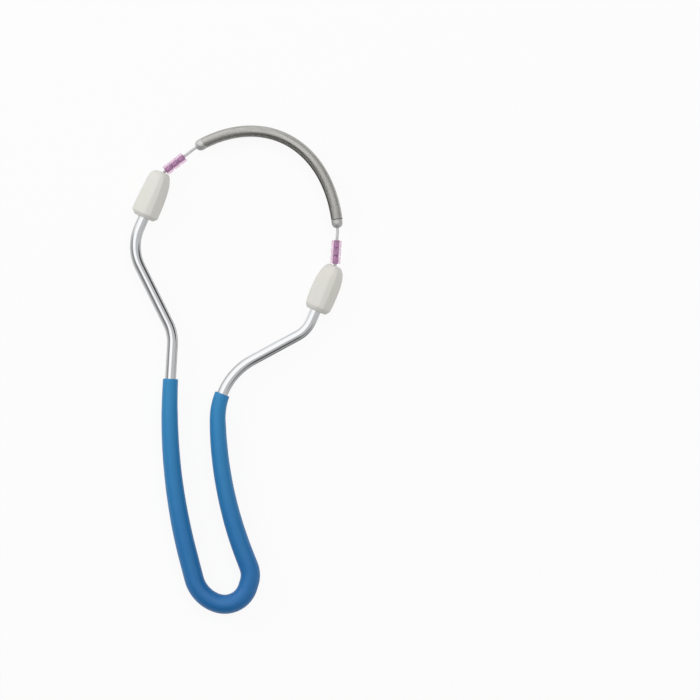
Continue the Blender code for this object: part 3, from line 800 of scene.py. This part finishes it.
def make_cable():
    route = cable_route()
    length = route_length(route)
    put_down()
    bpy.ops.mesh.primitive_circle_add(
        vertices=CABLE_SIDES, radius=CABLE / 2.0, fill_type="NGON")
    cable = bpy.context.object
    cable.name = "twisted_cable"
    start_editing(cable)
    one_side = 360.0 / CABLE_SIDES
    one_strand = CABLE_SIDES // CABLE_STRANDS
    pick("VERT", lambda corner: round(
        math.degrees(math.atan2(corner.y, corner.x)) / one_side) % one_strand == 0)
    bpy.ops.transform.resize(
        value=(CABLE_GROOVE, CABLE_GROOVE, 1.0), center_override=(0.0, 0.0, 0.0))
    pick_all()
    extrude(0.0, 0.0, length)
    cut_into_rings(length, *CABLE_CUTS)
    clean_skin()
    put_down()
    use_modifier(
        cable, "SIMPLE_DEFORM", deform_method="TWIST", deform_axis="Z",
        angle=2.0 * math.pi * length / CABLE_LAY)
    lay_along(cable, route)
    smooth(cable, angle=60.0)
    return cable


# Beads: turned once, then copied to each place on the cable

# The middle of each bead in millimetres, from the cap to the spring
BEAD_PLACES = {
    "left": ((-27.062, 80.461), (-24.563, 82.378), (-22.064, 84.296)),
    "right": ((39.701, 43.959), (39.905, 47.102), (40.108, 50.246)),
}
BEAD = 4.0 * MM
BEAD_LENGTH = 3.1 * MM
BEAD_BORE = CABLE / 2.0 + 0.15 * MM
BEAD_BORE_EDGE = 0.15 * MM
BEAD_EDGE = 0.55 * MM
BEAD_EDGE_STEPS = 8
BEAD_SIDES = 32
LINING_REACH = BEAD_BORE + 0.05 * MM


def make_bead_blank():
    radius = BEAD / 2.0
    half = BEAD_LENGTH / 2.0
    upper = [(BEAD_BORE, half - BEAD_BORE_EDGE), (BEAD_BORE + BEAD_BORE_EDGE, half)]
    for step in range(BEAD_EDGE_STEPS + 1):
        angle = 0.5 * math.pi * (1.0 - step / BEAD_EDGE_STEPS)
        upper.append((
            radius - BEAD_EDGE + BEAD_EDGE * math.cos(angle),
            half - BEAD_EDGE + BEAD_EDGE * math.sin(angle)))
    lower = [(reach, -height) for reach, height in reversed(upper)]
    bead = turn_on_lathe("bead_blank", upper + lower, BEAD_SIDES)
    smooth(bead, angle=50.0)
    return bead


def line_bead(bead, clear, lining):
    """The bore's wall is coloured, the rest is clear."""
    coat(bead, clear, lining)
    for face in bead.data.polygons:
        if math.hypot(face.center.x, face.center.y) < LINING_REACH:
            face.material_index = 1


def copy_of(blank, name):
    put_down()
    piece = blank.copy()
    piece.data = blank.data.copy()
    piece.name = name
    bpy.context.scene.collection.objects.link(piece)
    return piece


# Plugs: turned heads that close the spring, each with a spigot that goes into it

# How wide the heads are
PLUGS = {"left": 4.6 * MM, "right": 4.38 * MM}
PLUG_BORE = CABLE / 2.0 + 0.04 * MM
PLUG_BORE_EDGE = (0.1 * MM, 0.06 * MM)
PLUG_COLLAR = 1.3 * MM
PLUG_NOSE_SHARE = 0.5
PLUG_NOSE_STEPS = 10
PLUG_EDGE = 0.05 * MM
SPIGOT_REACH = 1.2 * MM
SPIGOT_DEPTH = 3.0 * MM
SPIGOT_CHAMFER = 0.2 * MM
PLUG_SIDES = 40


def make_plug(side):
    head = PLUGS[side] / 2.0
    edge_across, edge_along = PLUG_BORE_EDGE
    outline = [(PLUG_BORE, PLUG_HEAD - edge_along), (PLUG_BORE + edge_across, PLUG_HEAD)]
    last = math.acos(PLUG_NOSE_SHARE)
    for step in range(PLUG_NOSE_STEPS, -1, -1):
        angle = last * step / PLUG_NOSE_STEPS
        rise = (PLUG_HEAD - PLUG_COLLAR) * math.sin(angle) / math.sin(last)
        outline.append((head * math.cos(angle), PLUG_COLLAR + rise))
    outline += [
        (head, PLUG_EDGE),
        (head - PLUG_EDGE, 0.0),
        (SPIGOT_REACH, 0.0),
        (SPIGOT_REACH, SPIGOT_CHAMFER - SPIGOT_DEPTH),
        (SPIGOT_REACH - SPIGOT_CHAMFER, -SPIGOT_DEPTH),
        (PLUG_BORE, -SPIGOT_DEPTH),
    ]
    plug = turn_on_lathe("spring_plug_" + side, outline, PLUG_SIDES)
    place_along(plug, PLUG_PLACES[side], PLUG_AXES[side])
    smooth(plug, angle=40.0)
    return plug


# Everything in its place

fit(make_rod(), "handle", bright_drawn_steel(), "rod_steel", "frame_rod")
fit(make_grip(), "handle", dipped_vinyl(), "grip_vinyl", "grip_sleeve")
cap_finish = ivory_plastic()
for side in SIDES:
    fit(make_cap(side), "handle", cap_finish, "cap_plastic", "end_cap_" + side)
fit(make_coil(), "bow", spring_wire(), "spring_steel", "spring")
fit(make_cable(), "bow", coated_cable(), "cable_coat", "core_wire")
plug_finish = turned_steel()
for side in SIDES:
    fit(make_plug(side), "bow", plug_finish, "bush_steel", "spring_bush_" + side)

clear_pink, lining = pink_bead(), purple_lining()
blank = make_bead_blank()
line_bead(blank, clear_pink, lining)
for side in SIDES:
    for number, (x, y) in enumerate(BEAD_PLACES[side], 1):
        node = f"bead_{side}_{number}"
        bead = copy_of(blank, f"glass_bead_{side}_{number}")
        place_along(bead, (x * MM, y * MM), heading(CABLE_HEADINGS[side]))
        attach(bead, node)
        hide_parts(node)
bpy.data.objects.remove(blank, do_unlink=True)

brass = crimped_brass()
for side in SIDES:
    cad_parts["wire_stop_" + side].material_slots[0].material = brass


# Floor, room, lamps and camera

FLOOR = 6.0
# How far the floor is plain white to each kind of ray, so that a soft shadow is left
FLOOR_GLOW = (("Is Camera Ray", 0.91), ("Is Transmission Ray", 0.91), ("Is Glossy Ray", 0.35))
# Round patches on the floor, seen only where a piece mirrors them: the dark ones are painted
# shade that stands for the pieces' own shadow on the floor, and the bright ones are painted
# reflections. x, y and the radii of full and of no effect, in millimetres, and the brightness
PAINTED_FLOOR_REFLECTIONS = (
    (14.0, 65.0, 18.0, 27.0, 0.09),
    (27.0, -3.0, 13.0, 26.0, 0.28),
    (17.0, 23.0, 7.0, 13.0, 1.30),
    (4.0, 18.0, 6.0, 13.0, 1.30),
)

# What the pieces mirror of the room, as soft patches: the direction, the angles from it of full
# and of no effect, and the brightness outside and inside. The wall shades multiply each other,
# and the back wall and the soft box stand out over them.
WALL_SHADES = (
    ((0.895, 0.437, 0.105), 16.0, 34.0, 0.80, 0.03),
    ((0.48, -0.87, 0.17), 20.0, 42.0, 1.0, 0.42),
    ((-0.88, -0.36, 0.31), 22.0, 50.0, 1.0, 0.52),
    ((-0.14, -0.87, 0.47), 22.0, 43.0, 1.0, 0.05),
    ((-0.54, -0.45, 0.71), 10.0, 28.0, 1.0, 0.58),
)
BACK_WALL = ((-0.45, 0.84, 0.20), 34.0, 58.0, 0.0, 1.4)
SOFT_BOX = ((-0.354, 0.354, 0.866), 27.0, 42.0, 0.0, 1.6)
ROOM_LIGHT = 0.46

# Soft lamps that light everything and are mirrored in nothing: place, power and colour
LAMP_WIDTH = 0.8
LAMPS = {
    "soft_key": ((-0.75, 0.45, 0.48), 3.5, (1.0, 1.0, 1.0)),
    "high_fill": ((0.32, 0.42, 0.92), 3.1, (1.0, 0.955, 0.94)),
}

# Camera: it looks straight down, and half its picture is HALF_VIEW wide at the bow's height
CAMERA_PLACE = (0.0455, 0.0079, 1.4)
HALF_VIEW = 0.14
SENSOR = 36.0
CLIP_START = 0.01


def combined(tree, operation, first, second):
    """A Math node on two sockets, or on a socket and a number."""
    node = tree.nodes.new("ShaderNodeMath")
    node.operation = operation
    tree.links.new(first, node.inputs[0])
    if isinstance(second, float):
        node.inputs[1].default_value = second
    else:
        tree.links.new(second, node.inputs[1])
    return node.outputs["Value"]


def layered(tree, share, under, over):
    """Shows one shader over another, by a share from 0 to 1."""
    node = tree.nodes.new("ShaderNodeMixShader")
    for source, socket in zip((share, under, over), node.inputs):
        tree.links.new(source, socket)
    return node.outputs["Shader"]


def white_light(tree, kind, strength):
    """Plain white from an Emission or a Background node."""
    node = tree.nodes.new("ShaderNode" + kind)
    node.inputs["Color"].default_value = (1.0, 1.0, 1.0, 1.0)
    node.inputs["Strength"].default_value = strength
    return node.outputs[kind]


def lay_floor():
    put_down()
    bpy.ops.mesh.primitive_plane_add(size=FLOOR)
    floor = bpy.context.object
    floor.name = "studio_floor"
    paper = Finish("white_floor", (0.90, 0.90, 0.90), roughness=0.9)
    paper.mottle((0.91, 0.91, 0.91), most=1.0, scale=3.0, detail=3.0, low=0.3, high=0.7)
    tree = paper.material.node_tree
    ray = tree.nodes.new("ShaderNodeLightPath").outputs
    glow, *others = [combined(tree, "MULTIPLY", ray[kind], most) for kind, most in FLOOR_GLOW]
    for other in others:
        glow = combined(tree, "MAXIMUM", glow, other)
    surface = layered(
        tree, glow, paper.shader.outputs["BSDF"], white_light(tree, "Emission", 1.0))
    # Painted shade and painted reflections: patches that only glossy rays see on the floor
    for x, y, near, far, brightness in PAINTED_FLOOR_REFLECTIONS:
        away = tree.nodes.new("ShaderNodeVectorMath")
        away.operation = "DISTANCE"
        away.inputs[1].default_value = (x * MM, y * MM, 0.0)
        tree.links.new(paper.where(), away.inputs[0])
        share = paper.ranged(away.outputs["Value"], near * MM, far * MM, 1.0, 0.0)
        share = combined(tree, "MULTIPLY", share, ray["Is Glossy Ray"])
        surface = layered(tree, share, surface, white_light(tree, "Emission", brightness))
    tree.links.new(surface, tree.nodes["Material Output"].inputs["Surface"])
    coat(floor, paper.material)


def room_patch(room, towards, direction, near, far, outside, inside):
    turn = room.nodes.new("ShaderNodeVectorMath")
    turn.operation = "DOT_PRODUCT"
    turn.inputs[1].default_value = Vector(direction).normalized()
    room.links.new(towards, turn.inputs[0])
    spread = room.nodes.new("ShaderNodeMapRange")
    spread.interpolation_type = "SMOOTHSTEP"
    spread.inputs["From Min"].default_value = math.cos(math.radians(far))
    spread.inputs["From Max"].default_value = math.cos(math.radians(near))
    spread.inputs["To Min"].default_value = outside
    spread.inputs["To Max"].default_value = inside
    room.links.new(turn.outputs["Value"], spread.inputs["Value"])
    return spread.outputs["Result"]


def build_room():
    """Mirrored, the room has walls and lights; it lights evenly, and is seen as plain white."""
    world = bpy.data.worlds.new("studio_room")
    bpy.context.scene.world = world
    world.use_nodes = True
    room = world.node_tree
    room.nodes.clear()
    towards = room.nodes.new("ShaderNodeTexCoord").outputs["Generated"]
    walls, *others = [room_patch(room, towards, *shade) for shade in WALL_SHADES]
    for other in others:
        walls = combined(room, "MULTIPLY", walls, other)
    for light in (BACK_WALL, SOFT_BOX):
        walls = combined(room, "MAXIMUM", walls, room_patch(room, towards, *light))
    mirrored = room.nodes.new("ShaderNodeBackground")
    room.links.new(walls, mirrored.inputs["Color"])
    ray = room.nodes.new("ShaderNodeLightPath").outputs
    lighting = layered(
        room, ray["Is Glossy Ray"], white_light(room, "Background", ROOM_LIGHT),
        mirrored.outputs["Background"])
    seen = combined(room, "MAXIMUM", ray["Is Camera Ray"], ray["Is Transmission Ray"])
    surface = layered(room, seen, lighting, white_light(room, "Background", 1.0))
    output = room.nodes.new("ShaderNodeOutputWorld")
    room.links.new(surface, output.inputs["Surface"])


def hang_lamp(name, place, power, colour):
    lamp = bpy.data.lights.new(name, "AREA")
    lamp.shape = "DISK"
    lamp.size = LAMP_WIDTH
    lamp.energy = power
    lamp.color = colour
    holder = bpy.data.objects.new(name, lamp)
    holder.location = place
    holder.rotation_euler = (-Vector(place)).to_track_quat("-Z", "Y").to_euler()
    bpy.context.scene.collection.objects.link(holder)
    holder.visible_glossy = False


def set_up_camera():
    lens = bpy.data.cameras.new("camera")
    camera = bpy.data.objects.new("camera", lens)
    bpy.context.scene.collection.objects.link(camera)
    bpy.context.scene.camera = camera
    camera.location = CAMERA_PLACE
    lens.sensor_width = SENSOR
    lens.lens = SENSOR / 2.0 / (HALF_VIEW / (CAMERA_PLACE[2] - HEAD_HEIGHT))
    lens.clip_start = CLIP_START


lay_floor()
build_room()
for name, (place, power, colour) in LAMPS.items():
    hang_lamp(name, place, power, colour)
set_up_camera()
bpy.context.scene.view_settings.view_transform = "Standard"

put_down()
